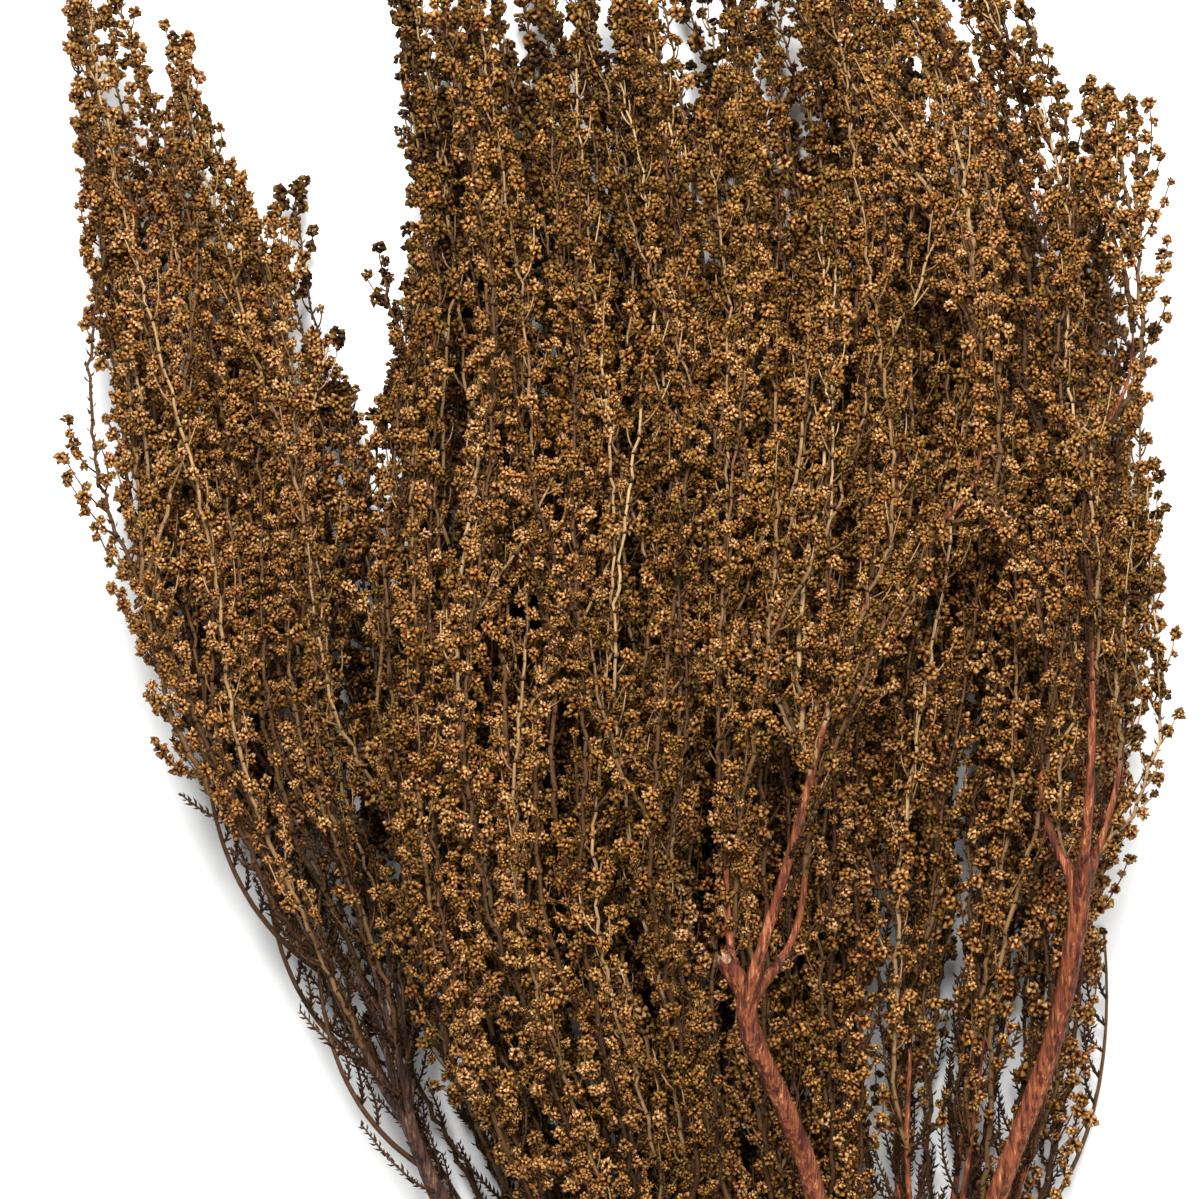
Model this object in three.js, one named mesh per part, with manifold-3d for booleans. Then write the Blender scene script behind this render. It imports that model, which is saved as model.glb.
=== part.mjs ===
// A bunch of dried stoebe lying on a table: ten woody branches, held near their cut ends by an
// elastic band. Each branch grew as one piece, so it is one solid: a stem that forks into twigs, and
// on each twig the outer shape of a long spray of bead-like flower heads.
// Millimetres. Y runs from the cut ends to the tips, X across the bunch and Z up from the table.
import * as THREE from "three";
import { mergeVertices } from "three/addons/utils/BufferGeometryUtils.js";
import Module from "manifold-3d";

const wasm = await Module();
wasm.setup();

// ---- driving dimensions ----
const LENGTH = 650; // cut ends to the furthest tips
const CROWN_START = 230; // cut ends to where the lowest sprays begin
const CROWN_WIDTH = 350; // across the flowering crown
const LAYER_PITCH = 31; // height from one layer of sprays to the next
const SPRAY_CLEARANCE = 1.2; // between neighbouring sprays
const SPRAY_TIP_SHARE = 0.3; // a spray's width at its tip, as a share of its full width

const TIE_Y = 95; // cut ends to the middle of the band
const TIE_X = 58; // the band's middle, measured from the crown's middle
const STEM_RADIUS = 4.2; // of every stem at its cut end and inside the band
const FORK_RADIUS = 3.8; // of every stem where it forks
const STEM_CLEARANCE = 0.8; // between neighbouring stems inside the band
const STEM_SPLAY = 1.25; // how much further apart the cut ends are than the stems in the band
const STEM_STRAIGHT = 20; // stems run straight this far to either side of the band's middle
const TRIM_VARIATION = 9; // the cut ends differ by this much in length
const TWIG_RADIUS = 2.6; // of a twig where it leaves its stem
const TWIG_END_RADIUS = 1.7; // of a twig where its spray begins
const TWIG_RUN_IN = 6; // a twig ends this far inside its spray
const SIDE_STEM_RADIUS = 3.5; // of a side stem where it leaves the main one
const SIDE_STEM_END_RADIUS = 2.3;
const SIDE_TWIG_RADIUS = 2.1; // of a twig where it leaves a side stem

const BAND_WIDTH = 7;
const BAND_THICKNESS = 1.4;
const BAND_CLEARANCE = 0.3; // between the band and the stems

// ---- fineness of the faceted solids ----
const SPRAY_SIDES = 8;
const SPRAY_STEPS = 8;
const STEM_SIDES = 8;
const STEM_STEPS = 11;
const SIDE_STEM_STEPS = 6;
const TWIG_SIDES = 6;
const TWIG_STEPS = 3;
const BAND_CORNER_STEPS = 2;

// ---- materials ----
const driedPlant = new THREE.MeshStandardMaterial({ color: 0x8f6a30, roughness: 0.9, metalness: 0 });
const rubber = new THREE.MeshStandardMaterial({ color: 0xb08a52, roughness: 0.6, metalness: 0 });

// ---- the crown's flow: where a lane of sprays runs ----

// A smooth function through [position, value] knots.
function profile(knots) {
  const positions = knots.map(([at]) => at);
  const values = knots.map(([, value]) => value);
  const cubic = new THREE.CubicInterpolant(positions, values, 1);
  return (at) => cubic.evaluate(THREE.MathUtils.clamp(at, positions[0], positions.at(-1)))[0];
}

// Edges of the crown: share of the crown's length against share of its width.
const leftEdge = profile([
  [0, -0.12], [0.07, -0.17], [0.18, -0.235], [0.36, -0.34], [0.5, -0.42],
  [0.64, -0.44], [0.79, -0.465], [0.93, -0.49], [1, -0.485],
]);
const gapLeft = profile([
  [0, -0.06], [0.18, -0.145], [0.36, -0.215], [0.5, -0.23],
  [0.64, -0.24], [0.79, -0.29], [0.93, -0.355], [1, -0.36],
]);
const gapRight = profile([
  [0, -0.05], [0.18, -0.135], [0.36, -0.195], [0.5, -0.195],
  [0.64, -0.185], [0.79, -0.18], [0.93, -0.21], [1, -0.21],
]);
const rightEdge = profile([
  [0, 0.365], [0.07, 0.405], [0.18, 0.425], [0.36, 0.475], [0.5, 0.49], [0.64, 0.49],
  [0.79, 0.485], [0.87, 0.465], [0.93, 0.43], [1, 0.4],
]);
// How much of its full height the stack of layers has along the crown, and across it.
const rise = profile([[-0.4, 0.42], [0, 0.62], [0.2, 0.86], [0.36, 1], [0.8, 1], [1, 0.9]]);
const dome = (across) => 1 - 0.9 * across * across;

const LOBES = {
  whole: [leftEdge, rightEdge],
  left: [leftEdge, gapLeft],
  main: [gapRight, rightEdge],
};

const crownShare = (y) => (y - CROWN_START) / (LENGTH - CROWN_START);
const crownY = (share) => CROWN_START + share * (LENGTH - CROWN_START);

// The point at height y along a lane. A lane is a place across one lobe, in one layer.
function lanePoint({ lobe, place, layer }, y) {
  const share = crownShare(y);
  const [from, to] = LOBES[lobe].map((edge) => edge(share));
  const across = THREE.MathUtils.lerp(from, to, place);
  const z = (layer + LAYER_SEAT) * LAYER_PITCH * rise(share) * dome(across);
  return new THREE.Vector3(across * CROWN_WIDTH, y, z);
}
const LAYER_SEAT = 0.42; // a layer's middle above its floor, as a share of the pitch

// Half the room a spray has across and upwards, where it passes a point in a direction.
function laneRoom({ lobe, place, lanes }, point, along) {
  const share = crownShare(point.y);
  const [from, to] = LOBES[lobe].map((edge) => edge(share));
  const across = THREE.MathUtils.lerp(from, to, place);
  const pitches = [((to - from) * CROWN_WIDTH) / lanes, LAYER_PITCH * rise(share) * dome(across)];
  return pitches.map((pitch) => (pitch * along.y - SPRAY_CLEARANCE) / 2);
}

// ---- shapes ----

// A closed tube bent along a stretch of a curve. radiiAt gives its half width across and upwards
// from how far along the stretch it is, the point and the direction there. What would dip below the
// table is pressed flat on it.
function bentTube(curve, from, to, sides, steps, radiiAt) {
  const tube = new THREE.CylinderGeometry(1, 1, 1, sides, steps);
  tube.rotateY(Math.PI / sides);
  const position = tube.getAttribute("position");
  const local = new THREE.Vector3();
  for (let i = 0; i < position.count; i++) {
    local.fromBufferAttribute(position, i);
    const t = local.y + 0.5;
    const u = THREE.MathUtils.lerp(from, to, t);
    const along = curve.getTangentAt(u);
    const side = new THREE.Vector3().crossVectors(along, new THREE.Vector3(0, 0, 1)).normalize();
    const up = new THREE.Vector3().crossVectors(side, along);
    const point = curve.getPointAt(u);
    const [wide, high] = radiiAt(t, point, along);
    point.addScaledVector(side, local.x * wide).addScaledVector(up, local.z * high);
    position.setXYZ(i, point.x, point.y, Math.max(point.z, 0));
  }
  return closed(tube);
}

// The geometry with only its positions, and its shared vertices merged.
function closed(geometry) {
  const bare = geometry.index ? geometry.toNonIndexed() : geometry.clone();
  bare.deleteAttribute("normal");
  bare.deleteAttribute("uv");
  return mergeVertices(bare, 1e-3);
}

function solidFrom(geometry) {
  return new wasm.Manifold(
    new wasm.Mesh({
      numProp: 3,
      vertProperties: geometry.getAttribute("position").array,
      triVerts: new Uint32Array(geometry.index.array),
    }),
  );
}

function geometryFrom(solid) {
  const mesh = solid.getMesh();
  return new THREE.BufferGeometry()
    .setAttribute("position", new THREE.BufferAttribute(mesh.vertProperties, 3))
    .setIndex(new THREE.BufferAttribute(mesh.triVerts, 1));
}

const joined = (geometries) =>
  geometryFrom(geometries.map(solidFrom).reduce((whole, piece) => whole.add(piece)));

// Where a curve that always climbs in Y reaches y, as a share of its length.
function shareAtY(curve, y) {
  let [low, high] = [0, 1];
  for (let i = 0; i < 24; i++) {
    const middle = (low + high) / 2;
    if (curve.getPointAt(middle).y < y) low = middle;
    else high = middle;
  }
  return (low + high) / 2;
}

// ---- the branches ----

const GOLDEN_RATIO = 0.618; // its multiples spread the cut ends evenly between their limits

// Stems in the band lie in three rows of 3, 4 and 3, nested like stacked rods.
const STEM_PITCH = 2 * STEM_RADIUS + STEM_CLEARANCE;
const ROW_SIZES = [3, 4, 3];
const rowZ = (row) =>
  BAND_THICKNESS + BAND_CLEARANCE + STEM_RADIUS + (row * STEM_PITCH * Math.sqrt(3)) / 2;
const slotX = (row, slot) => (slot - (ROW_SIZES[row] - 1) / 2) * STEM_PITCH;

// lanes(lobe, layer, count, places...) lists lanes by their number across the lobe, from the left.
const lanes = (lobe, layer, count, ...numbers) =>
  numbers.map((number) => ({ lobe, layer, lanes: count, place: (number + 0.5) / count }));

// Each branch: its row and slot in the band, the bends of its stem as [share of crown length,
// share of crown width, layer height], the last of them its fork, and its limbs: the lanes of their
// sprays, with the shares of the crown's length where those begin and end. A limb with bends of its
// own has a side stem.
const BRANCHES = [
  {
    name: "lower_left", row: 0, slot: 0, bends: [[-0.09, -0.02, 0.45]],
    limbs: [{ lanes: lanes("whole", 0, 12, 0, 1, 2, 3), begin: 0.06, ends: [0.8, 0.88, 0.79, 0.74] }],
  },
  {
    name: "lower_middle", row: 0, slot: 1, bends: [[-0.1, 0.155, 0.45]],
    limbs: [{ lanes: lanes("whole", 0, 12, 4, 5, 6, 7), begin: 0.03, ends: [0.93, 0.97, 0.9, 0.94] }],
  },
  {
    name: "lower_right", row: 0, slot: 2, bends: [[-0.09, 0.3, 0.45]],
    limbs: [{ lanes: lanes("whole", 0, 12, 8, 9, 10, 11), begin: 0.04, ends: [0.97, 0.91, 0.95, 0.84] }],
  },
  {
    name: "middle_far_left", row: 1, slot: 0, bends: [[0.07, -0.15, 1.9]],
    limbs: [
      { lanes: lanes("left", 1, 3, 0, 1, 2), begin: 0.24, ends: [0.98, 0.93, 0.85] },
      { lanes: lanes("left", 2, 2, 0, 1), begin: 0.26, ends: [0.93, 0.88] },
    ],
  },
  {
    name: "middle_left", row: 1, slot: 1, bends: [[-0.08, 0.06, 1.9]],
    limbs: [
      { lanes: lanes("main", 1, 9, 0, 1, 2), begin: 0.06, ends: [0.91, 0.98, 0.95] },
      { lanes: lanes("main", 2, 9, 0, 1, 2), begin: 0.09, ends: [0.96, 0.92, 1.0] },
    ],
  },
  {
    name: "middle_right", row: 1, slot: 2, bends: [[-0.1, 0.18, 1.9]],
    limbs: [
      { lanes: lanes("main", 1, 9, 3, 4, 5), begin: 0.05, ends: [0.97, 0.93, 0.99] },
      { lanes: lanes("main", 2, 9, 3, 4, 5), begin: 0.08, ends: [0.94, 0.99, 0.91] },
    ],
  },
  {
    name: "middle_far_right", row: 1, slot: 3, bends: [[-0.08, 0.3, 1.9]],
    limbs: [
      { lanes: lanes("main", 1, 9, 6, 7, 8), begin: 0.06, ends: [0.96, 0.94, 0.85] },
      { lanes: lanes("main", 2, 9, 6, 7, 8), begin: 0.09, ends: [0.98, 0.9, 0.8] },
    ],
  },
  {
    name: "upper_left", row: 2, slot: 0, bends: [[-0.07, 0.0, 3.5]],
    limbs: [{ lanes: lanes("main", 3, 10, 0, 1, 2, 3), begin: 0.08, ends: [0.78, 0.93, 0.87, 0.95] }],
  },
  {
    name: "upper_middle", row: 2, slot: 1,
    bends: [[-0.1, 0.2, 3.4], [0.07, 0.188, 3.8], [0.21, 0.12, 4.05]],
    limbs: [
      { lanes: lanes("main", 3, 10, 4, 5), begin: 0.27, ends: [0.85, 0.76] },
      {
        bends: [[0.335, 0.163, 4.12], [0.44, 0.195, 4.1], [0.53, 0.24, 3.7]],
        lanes: lanes("main", 3, 10, 6, 7), begin: 0.58, ends: [0.97, 0.93],
      },
    ],
  },
  {
    name: "upper_right", row: 2, slot: 2,
    bends: [[-0.1, 0.275, 3.3], [0.07, 0.347, 3.5], [0.2, 0.395, 3.7], [0.29, 0.41, 3.8]],
    limbs: [
      { lanes: lanes("main", 3, 10, 8, 9), begin: 0.36, ends: [0.6, 0.57] },
      {
        bends: [[0.38, 0.414, 4.1], [0.5, 0.413, 4.12], [0.6, 0.41, 3.8]],
        lanes: lanes("main", 3, 10, 8, 9), begin: 0.66, ends: [0.93, 0.84],
      },
    ],
  },
];

// The point of a bend, which is placed like a lane but by shares of the crown.
const bendPoint = ([along, across, height]) =>
  new THREE.Vector3(
    across * CROWN_WIDTH,
    crownY(along),
    height * LAYER_PITCH * rise(along) * dome(across),
  );

// The spray's outline along its length: slim where it leaves its twig, full, then tapering to the tip.
function sprayShape(t) {
  const swell = Math.sin(Math.min(t / 0.3, 1) * Math.PI * 0.5);
  const taper = THREE.MathUtils.lerp(1, SPRAY_TIP_SHARE, THREE.MathUtils.smoothstep(t, 0.55, 1));
  return THREE.MathUtils.lerp(0.22, 1, swell) * taper;
}

function mesh(name, geometry, material) {
  const made = new THREE.Mesh(geometry, material);
  made.name = name;
  return made;
}

const smoothCurve = (points) => new THREE.CatmullRomCurve3(points, false, "centripetal");

// Radii for a round tube that thins from one radius to another.
const thinning = (from, to) => (t) => Array(2).fill(THREE.MathUtils.lerp(from, to, t));

// A twig from a fork to where its spray begins, and the spray on it.
function twigAndSpray(fork, twigRadius, lane, begin, end) {
  const stations = [0, 0.25, 0.5, 0.75, 1].map((t) => lanePoint(lane, THREE.MathUtils.lerp(begin, end, t)));
  const shoot = smoothCurve([fork, ...stations]);
  const starts = shareAtY(shoot, begin);
  const twigEnds = starts + TWIG_RUN_IN / shoot.getLength();
  const sprayRadii = (t, point, along) => laneRoom(lane, point, along).map((half) => half * sprayShape(t));
  return [
    bentTube(shoot, 0, twigEnds, TWIG_SIDES, TWIG_STEPS, thinning(twigRadius, TWIG_END_RADIUS)),
    bentTube(shoot, starts, 1, SPRAY_SIDES, SPRAY_STEPS, sprayRadii),
  ];
}

function buildBranch(branch, index) {
  const x = TIE_X + slotX(branch.row, branch.slot);
  const tie = new THREE.Vector3(x, TIE_Y, rowZ(branch.row));
  const buttX = TIE_X + slotX(branch.row, branch.slot) * STEM_SPLAY;
  const butt = new THREE.Vector3(buttX, ((index * GOLDEN_RATIO) % 1) * TRIM_VARIATION, tie.z);
  const straight = [-STEM_STRAIGHT, 0, STEM_STRAIGHT].map((offset) => tie.clone().setY(TIE_Y + offset));
  const bends = branch.bends.map(bendPoint);
  const stem = smoothCurve([butt, ...straight, ...bends]);
  const steps = STEM_STEPS + 2 * (bends.length - 1);
  const solids = [bentTube(stem, 0, 1, STEM_SIDES, steps, thinning(STEM_RADIUS, FORK_RADIUS))];

  for (const limb of branch.limbs) {
    let fork = bends.at(-1);
    if (limb.bends) {
      const sideStem = smoothCurve([fork, ...limb.bends.map(bendPoint)]);
      const radii = thinning(SIDE_STEM_RADIUS, SIDE_STEM_END_RADIUS);
      solids.push(bentTube(sideStem, 0, 1, STEM_SIDES, SIDE_STEM_STEPS, radii));
      fork = bendPoint(limb.bends.at(-1));
    }
    const twigRadius = limb.bends ? SIDE_TWIG_RADIUS : TWIG_RADIUS;
    limb.lanes.forEach((lane, number) => {
      solids.push(...twigAndSpray(fork, twigRadius, lane, crownY(limb.begin), crownY(limb.ends[number])));
    });
  }
  return mesh(`branch_${branch.name}`, joined(solids), driedPlant);
}

// ---- the elastic band: a loop stretched round the outer stems ----
function bandOutline(offset, kind = THREE.Shape) {
  const outline = new kind();
  const rows = [0, 1, 2];
  const corners = [
    ...rows.map((row) => [slotX(row, ROW_SIZES[row] - 1), rowZ(row)]),
    ...rows.toReversed().map((row) => [slotX(row, 0), rowZ(row)]),
  ];
  const turn = Math.PI / 3; // each corner of the hexagon turns the band by a sixth of a circle
  corners.forEach(([x, z], i) => outline.absarc(x, z, offset, (i - 1.5) * turn, (i - 0.5) * turn, false));
  outline.closePath();
  return outline;
}

function buildBand() {
  const inside = STEM_RADIUS + BAND_CLEARANCE;
  const outline = bandOutline(inside + BAND_THICKNESS);
  outline.holes.push(bandOutline(inside, THREE.Path));
  const ring = new THREE.ExtrudeGeometry(outline, {
    depth: BAND_WIDTH,
    bevelEnabled: false,
    curveSegments: BAND_CORNER_STEPS,
  });
  ring.rotateX(Math.PI / 2).translate(TIE_X, TIE_Y + BAND_WIDTH / 2, 0);
  return mesh("elastic_band", closed(ring), rubber);
}

// ---- the bunch, standing over the middle of its own outline ----
const bunch = new THREE.Group();
bunch.add(buildBand(), ...BRANCHES.map(buildBranch));
const outline = new THREE.Box3().setFromObject(bunch);
const middle = outline.getCenter(new THREE.Vector3());
bunch.position.set(-middle.x, -middle.y, -outline.min.z);

export default bunch;
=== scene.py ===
"""A bunch of dried stoebe lying on a pale surface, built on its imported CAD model.

Each CAD branch is one solid: a stem that forks into twigs, and on each twig the outer shape of a
spray. This script cuts those solids across Y to find where every stem, twig and spray runs, then
grows bark along the stems, and wands, side shoots and flower heads inside the sprays.
"""

import math

import bpy
import numpy as np
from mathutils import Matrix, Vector


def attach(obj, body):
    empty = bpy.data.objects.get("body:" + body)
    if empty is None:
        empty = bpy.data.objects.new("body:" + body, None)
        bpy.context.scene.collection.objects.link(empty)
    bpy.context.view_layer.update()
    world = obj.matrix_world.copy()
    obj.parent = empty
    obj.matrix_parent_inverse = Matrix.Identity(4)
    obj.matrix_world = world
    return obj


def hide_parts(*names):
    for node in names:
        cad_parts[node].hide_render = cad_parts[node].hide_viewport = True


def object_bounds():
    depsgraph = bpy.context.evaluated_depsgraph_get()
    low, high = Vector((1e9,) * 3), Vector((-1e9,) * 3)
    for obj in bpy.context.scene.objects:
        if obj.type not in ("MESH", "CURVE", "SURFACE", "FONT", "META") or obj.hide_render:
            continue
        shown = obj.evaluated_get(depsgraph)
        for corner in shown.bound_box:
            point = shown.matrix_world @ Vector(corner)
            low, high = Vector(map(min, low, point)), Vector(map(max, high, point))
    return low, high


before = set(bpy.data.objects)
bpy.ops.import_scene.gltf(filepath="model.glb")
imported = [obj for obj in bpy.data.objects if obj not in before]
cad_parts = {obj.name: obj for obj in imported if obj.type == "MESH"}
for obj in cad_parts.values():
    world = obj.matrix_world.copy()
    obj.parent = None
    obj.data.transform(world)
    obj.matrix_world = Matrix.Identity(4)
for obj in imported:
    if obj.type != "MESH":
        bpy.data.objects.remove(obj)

CAD_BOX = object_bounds()

# ---- driving dimensions, in metres ----
MM = 0.001
SLICE_STEP = 5 * MM  # between the planes that cut the CAD branches
WOOD_LIMIT = 5.0 * MM  # an outline with a smaller half width is wood, a larger one a spray
STEM_LIMIT = 3.0 * MM  # wood with a larger radius is a stem, with a smaller one a twig

RUN_DOWN = 105 * MM  # how far below a spray's full part its lowest wands leave the twig
SHORT_RUN_DOWN = 65 * MM  # the same on the branches with bare feet
FORK_SLICES = 30  # a spray's wands leave its twig over this many slices
TAIL_SLICES = 2  # wands run on past a spray's tip by this many slices
WAND_ROOM = 7 * MM  # half the width that wands take where the CAD spray is still slim
WAND_RADIUS = 0.85 * MM  # of a wand where it leaves its twig
WAND_TIP_RADIUS = 0.35 * MM
SIDE_BRANCH_SHARE = 0.45  # of the wands carry a side branch
SHOOT_PITCH = 7.2 * MM  # between side shoots along a wand
SHOOT_LENGTH = 17.5 * MM
SHOOT_RADIUS = 0.4 * MM
HEAD_PITCH = 3.8 * MM  # between flower heads along a shoot
HEAD_RADIUS = 2.45 * MM
HEAD_STAND_OFF = 1.6 * MM  # of a flower head's middle from its shoot
LEAF_PITCH = 1.8 * MM  # between the scale leaves along a wand
LEAF_LENGTH = 2.2 * MM
LOWEST_WAND = 1.5 * MM  # height of the middle of a wand that lies on the surface
TWIG_TONES = (0.02, 0.35)  # dark ones, of the leafy twigs
COMB_PITCH = 9 * MM  # between the leafy twigs below the sprays
COMB_LENGTH = 26 * MM
COMB_LEAF_PITCH = 1.1 * MM
COMB_LEAF_LENGTH = 2.5 * MM
ARCH_SHOOT_PITCH = 8.5 * MM  # between the leafy twigs of a long shoot that bows out
BARK_STEP = 1.1 * MM  # between the rings of the bark
FORK_THINNING = 0.36  # the share of its girth that wood loses soon after the first fork
TWIG_THINNING = 0.24  # and the share that it loses slowly beyond
FOOT_LENGTH = 150 * MM  # above its cut end, over which a branch takes on its own girth
STUB_LENGTH = 11 * MM  # of the limb that broke off
GOLDEN_ANGLE = math.radians(137.5)  # between one side shoot, leaf or bract and the next

PIECE_FACES = 160_000  # no piece holds more faces
CEILING = CAD_BOX[1][2] + 6 * MM  # no shoot rises higher

rng = np.random.default_rng(88)


# ---- small vector helpers on arrays whose last axis is x, y, z ----
def unit(v):
    return v / np.maximum(np.linalg.norm(v, axis=-1, keepdims=True), 1e-12)


def smooth_step(x):
    x = np.clip(x, 0, 1)
    return x * x * (3 - 2 * x)


def blur(values, reach):
    """A running mean along the first axis, with the ends held."""
    if reach < 1 or len(values) < 3:
        return values
    padded = np.concatenate([np.repeat(values[:1], reach, 0), values, np.repeat(values[-1:], reach, 0)])
    total = np.cumsum(np.concatenate([np.zeros_like(padded[:1]), padded]), axis=0)
    width = 2 * reach + 1
    return (total[width:] - total[:-width]) / width


def frames_along(points):
    """Directions along, sideways and upwards at each point of polylines that never run straight up."""
    along = unit(np.gradient(points, axis=-2))
    sideways = unit(np.cross(along, [0.0, 0.0, 1.0]))
    return along, sideways, np.cross(sideways, along)


def distances(points):
    """How far along a polyline each of its points is."""
    return np.concatenate([[0], np.cumsum(np.linalg.norm(np.diff(points, axis=0), axis=1))])


def resample(points, step):
    """A polyline's points at an even step, and the distance of each from the start."""
    far = distances(points)
    at = np.linspace(0, far[-1], max(int(far[-1] / step) + 1, 4))
    return np.stack([np.interp(at, far, c) for c in points.T], 1), at


LATTICE = rng.random((32, 32, 32))


def noise(points):
    """Smooth noise from 0 to 1, blended from random values that sit one unit apart."""
    cell = np.floor(points).astype(int)
    part = smooth_step(points - cell)
    total = np.zeros(points.shape[:-1])
    for corner in np.ndindex(2, 2, 2):
        share = np.prod(np.where(np.array(corner) == 1, part, 1 - part), axis=-1)
        i, j, k = np.moveaxis((cell + np.array(corner)) % 32, -1, 0)
        total += share * LATTICE[i, j, k]
    return total


# ---- where the CAD branches run ----
def cut_rings(mesh, height):
    """The closed rings in which a mesh cuts the plane at y = height, each as unsorted (x, z) points."""
    corners, triangles = mesh
    above = corners[:, 1] > height
    sides = above[triangles]
    neighbours = {}
    place = {}
    for triangle in triangles[sides.any(1) & ~sides.all(1)]:
        cut = []
        for a, b in ((0, 1), (1, 2), (2, 0)):
            edge = p, q = tuple(sorted((triangle[a], triangle[b])))
            if above[p] != above[q]:
                share = (height - corners[p, 1]) / (corners[q, 1] - corners[p, 1])
                place[edge] = corners[p] + share * (corners[q] - corners[p])
                cut.append(edge)
        neighbours.setdefault(cut[0], []).append(cut[1])
        neighbours.setdefault(cut[1], []).append(cut[0])
    rings = []
    while neighbours:
        waiting, ring = [next(iter(neighbours))], []
        while waiting:
            edge = waiting.pop()
            if edge in neighbours:
                ring.append(place[edge])
                waiting.extend(neighbours.pop(edge))
        rings.append(np.array(ring)[:, [0, 2]])
    return rings


def outlines(mesh, height):
    """Each ring of a cut as (x, z, half width, half height)."""
    found = []
    for ring in cut_rings(mesh, height):
        low, high = ring.min(0), ring.max(0)
        found.append((*(low + high) / 2, *(high - low) / 2))
    return found


def shared_corners(obj):
    """A mesh's corners, each place only once, and its triangles by them."""
    mesh = obj.data
    mesh.calc_loop_triangles()
    corners = np.empty(len(mesh.vertices) * 3)
    mesh.vertices.foreach_get("co", corners)
    triangles = np.empty(len(mesh.loop_triangles) * 3, np.int64)
    mesh.loop_triangles.foreach_get("vertices", triangles)
    corners = corners.reshape(-1, 3)
    _, first, same = np.unique(np.round(corners, 6), axis=0, return_index=True, return_inverse=True)
    return corners[first], same.ravel()[triangles].reshape(-1, 3)


class Run:
    """One way through a CAD branch, from its cut end to a tip: the solid's middle and half sizes."""

    def __init__(self, points, halves, shared):
        self.points = points
        self.halves = halves
        self.shared = shared  # how many of the first points another run has already
        fullest = len(points) // 3 + int(np.argmax(halves[len(points) // 3 :].min(1)))
        self.spray_start = fullest
        while self.spray_start > 0 and halves[self.spray_start].min() > WOOD_LIMIT:
            self.spray_start -= 1


def runs_through(node):
    """Every run through a CAD branch, found by following its outlines down from each tip."""
    mesh = shared_corners(node)
    low, high = mesh[0][:, 1].min(), mesh[0][:, 1].max()
    heights = np.arange(low + 0.3 * MM, high, SLICE_STEP)
    rows = [outlines(mesh, y) for y in heights]
    below = [[]]
    for k in range(1, len(rows)):
        lower = np.array(rows[k - 1])
        joins = []
        for x, z, *_ in rows[k]:
            away = np.hypot(lower[:, 0] - x, lower[:, 1] - z) - 0.8 * lower[:, 2:].min(1)
            joins.append(int(np.argmin(away)))
        below.append(joins)
    taken = set()
    found = []
    for k in range(len(rows) - 1, -1, -1):
        followed = set(below[k + 1]) if k + 1 < len(rows) else set()
        for i in range(len(rows[k])):
            if i in followed:
                continue
            way, j = [], i
            for level in range(k, -1, -1):
                way.append((level, j))
                j = below[level][j] if level else 0
            way.reverse()
            shared = sum(step in taken for step in way)
            taken.update(way)
            points = np.array([[rows[a][b][0], heights[a], rows[a][b][1]] for a, b in way])
            halves = np.array([rows[a][b][2:] for a, b in way])
            lean = unit(np.gradient(points, axis=0))[:, 1]
            halves[:, 0] *= lean
            found.append(Run(points, halves, shared))
    return [run for run in found if run.halves.min(1).max() > WOOD_LIMIT]


# ---- meshes from arrays ----
FLOWER_MATERIAL, WAND_MATERIAL = 0, 1  # their numbers on a piece of flowers
BARK_MATERIAL, CUT_MATERIAL = 0, 1  # and on a piece of wood


class Parts:
    """Corners, triangles, map places and material numbers, gathered piece by piece."""

    def __init__(self):
        self.corners, self.triangles, self.places, self.slots = [], [], [], []
        self.count = 0
        self.faces = 0

    def add(self, corners, triangles, places, slot):
        """Adds n copies: corners (n, v, 3), triangles (f, 3), and a map place for each corner of each
        triangle (n, f, 3, 2)."""
        copies, size = corners.shape[:2]
        offset = self.count + size * np.arange(copies)[:, None, None]
        self.corners.append(corners.reshape(-1, 3))
        self.triangles.append((triangles[None] + offset).reshape(-1, 3))
        self.places.append(places.reshape(-1, 2))
        self.slots.append(np.full(copies * len(triangles), slot))
        self.count += copies * size
        self.faces += copies * len(triangles)

    def build(self, name, materials):
        """One object of everything gathered, with nothing below the surface that the bunch lies on."""
        corners = np.concatenate(self.corners)
        corners[:, 2] = np.maximum(corners[:, 2], 0)
        triangles = np.concatenate(self.triangles)
        mesh = bpy.data.meshes.new(name)
        mesh.vertices.add(len(corners))
        mesh.vertices.foreach_set("co", corners.astype(np.float32).ravel())
        mesh.loops.add(triangles.size)
        mesh.loops.foreach_set("vertex_index", triangles.astype(np.int32).ravel())
        mesh.polygons.add(len(triangles))
        mesh.polygons.foreach_set("loop_start", np.arange(0, triangles.size, 3, dtype=np.int32))
        mesh.polygons.foreach_set("use_smooth", np.ones(len(triangles), bool))
        mesh.polygons.foreach_set("material_index", np.concatenate(self.slots).astype(np.int32))
        mesh.update(calc_edges=True)
        layer = mesh.uv_layers.new(name="OFBake")
        layer.uv.foreach_set("vector", np.concatenate(self.places).astype(np.float32).ravel())
        for material in materials:
            mesh.materials.append(material)
        obj = bpy.data.objects.new(name, mesh)
        bpy.context.scene.collection.objects.link(obj)
        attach(obj, "root")
        return obj


def tubes(points, radii, sides):
    """The corners (n, m * sides, 3) of tubes along n polylines of m points, with radii (n, m) or
    (n, m, sides)."""
    _, sideways, upwards = frames_along(points)
    angles = 2 * math.pi * np.arange(sides) / sides
    ring = np.cos(angles)[:, None] * sideways[..., None, :]
    ring = ring + np.sin(angles)[:, None] * upwards[..., None, :]
    if radii.ndim == 2:
        radii = radii[..., None]
    corners = points[..., None, :] + ring * radii[..., None]
    return corners.reshape(len(points), -1, 3)


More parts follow.
